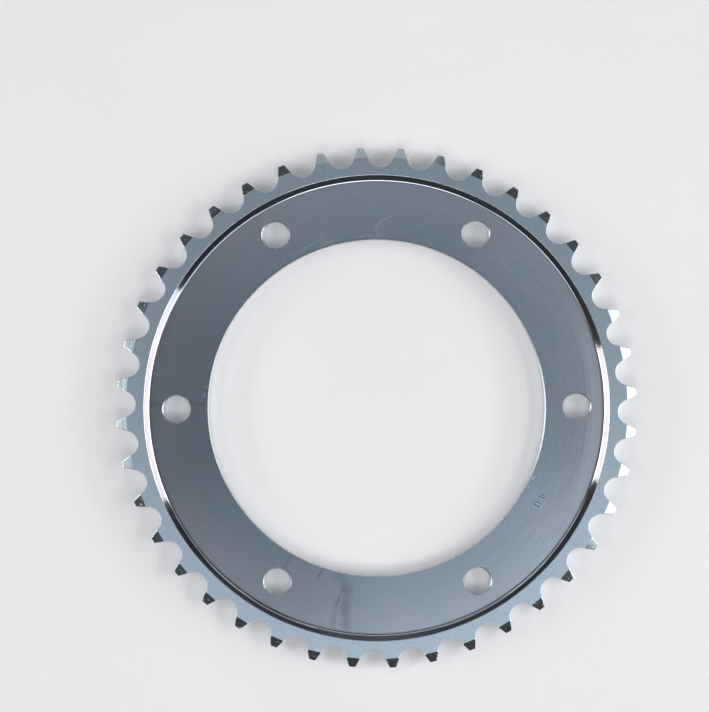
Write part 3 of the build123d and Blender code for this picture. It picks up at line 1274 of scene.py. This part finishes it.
def softbox(name, azimuth, elevation, wide, high, radiance, distance=LAMP_DISTANCE):
    """Rectangular lamp facing the wheel that covers wide by high degrees of its sky.

    A lamp's power is its radiance times pi times its area.
    """
    a, e = math.radians(azimuth), math.radians(elevation)
    width = 2 * distance * math.cos(e) * math.tan(math.radians(wide / 2))
    height = 2 * distance * math.tan(math.radians(high / 2))
    lamp = bpy.data.lights.new(name, "AREA")
    lamp.shape = "RECTANGLE"
    lamp.size, lamp.size_y = width, height
    lamp.energy = radiance * math.pi * width * height
    box = bpy.data.objects.new(name, lamp)
    place = Vector((math.cos(a) * math.cos(e), math.sin(a) * math.cos(e), math.sin(e))) * distance
    box.location = place
    box.rotation_mode = "QUATERNION"
    box.rotation_quaternion = place.to_track_quat("Z", "Y")
    box.visible_camera = False
    bpy.context.scene.collection.objects.link(box)
    return box


for lamp in LAMPS:
    softbox(*lamp)
print(len(LAMPS), "lamps")

# %% [markdown]
# ## The room
#
# The room behind the paper is pale, and camera, mirror and glass rays see it so. But metal
# that mirrors a pale room has no shape: every facet is grey. A photographer of bright metal
# therefore hangs dark cloth round it and lets only the soft boxes show. The cloth here is a
# dome outside the lamps. It isn't quite black: it gives back an eighth of its light, which
# keeps the darkest reflections from being empty. The camera doesn't see it, as it would stand
# in a gap of the cloth.

# %% World and dark cloth
CLOTH_RADIUS = 3.0
CLOTH = (0.12, 0.12, 0.122, 1.0)


def build_world():
    """World that is pale where it is looked at and gives no light of its own."""
    world = bpy.data.worlds.new("studio")
    world.use_nodes = True
    tree = world.node_tree
    room = tree.nodes["Background"]
    room.inputs["Color"].default_value = (0.0, 0.0, 0.0, 1.0)
    pale = node(tree, "Background", {"Color": PALE_ROOM}).outputs[0]
    mix = node(tree, "MixShader", {0: seen_directly(tree), 1: room.outputs[0], 2: pale})
    tree.links.new(mix.outputs[0], tree.nodes["World Output"].inputs["Surface"])
    return world


def build_dome(columns=48, rows=12):
    """Dome of cloth: circles whose height and radius follow a quarter of a circle."""
    turn = 2 * math.pi * np.arange(columns) / columns
    circle = CLOTH_RADIUS * np.stack([np.cos(turn), np.sin(turn)], axis=1)
    rise = 0.5 * math.pi * np.arange(rows) / rows
    down = (0.0, 0.0, -1.0)
    rings = [row(math.cos(a) * circle, CLOTH_RADIUS * math.sin(a), down) for a in rise]
    points, _, faces = sheet(rings, columns)
    faces = faces[:, ::-1].tolist()
    faces.append(list(range((rows - 1) * columns, rows * columns))[::-1])
    mesh = bpy.data.meshes.new("black_cloth")
    mesh.from_pydata(points.tolist(), [], faces)
    return mesh


def build_cloth():
    """Dark matt cloth."""
    material = bpy.data.materials.new("black_cloth")
    material.use_nodes = True
    shader = material.node_tree.nodes["Principled BSDF"]
    shader.inputs["Base Color"].default_value = CLOTH
    shader.inputs["Roughness"].default_value = 1.0
    shader.inputs["Specular IOR Level"].default_value = 0.0
    return material


bpy.context.scene.world = build_world()
cloth = bpy.data.objects.new("black_cloth", build_dome())
cloth.data.materials.append(build_cloth())
cloth.visible_camera = False
bpy.context.scene.collection.objects.link(cloth)
print("cloth with", len(cloth.data.polygons), "faces")

# %% [markdown]
# ## The camera
#
# The photograph was taken from straight above, a metre over the wheel. Its frame is 709 by 712
# pixels, and the wheel is 520 of them across, so a pixel is 0.4 mm at the height of its face.
# The lens follows from that: the frame's height in metres at the face, against the distance.
# The wheel isn't in the middle of the frame, so the camera stands beside its axis.

# %% Camera
CAMERA_HEIGHT = 1.0
SENSOR_WIDTH = 36
CLIP_START, CLIP_END = 0.05, 50

camera = bpy.data.objects.new("camera", bpy.data.cameras.new("camera"))
bpy.context.scene.collection.objects.link(camera)
bpy.context.scene.camera = camera
right = Vector((math.cos(ROLL), math.sin(ROLL), 0))
up = Vector((-math.sin(ROLL), math.cos(ROLL), 0))
offset_x = (CENTRE_PIXEL[0] - PHOTO_WIDTH / 2) * PIXEL
offset_y = (CENTRE_PIXEL[1] - PHOTO_HEIGHT / 2) * PIXEL
camera.location = -right * offset_x + up * offset_y + Vector((0, 0, THICKNESS + CAMERA_HEIGHT))
camera.rotation_euler = (0, 0, ROLL)
camera.data.sensor_width = SENSOR_WIDTH
camera.data.lens = SENSOR_WIDTH * CAMERA_HEIGHT / (PHOTO_HEIGHT * PIXEL)
camera.data.clip_start, camera.data.clip_end = CLIP_START, CLIP_END
bpy.context.scene.view_settings.view_transform = "Standard"
print("camera at", [round(v, 4) for v in camera.location], "m")
print("lens of", round(camera.data.lens, 1), "mm")
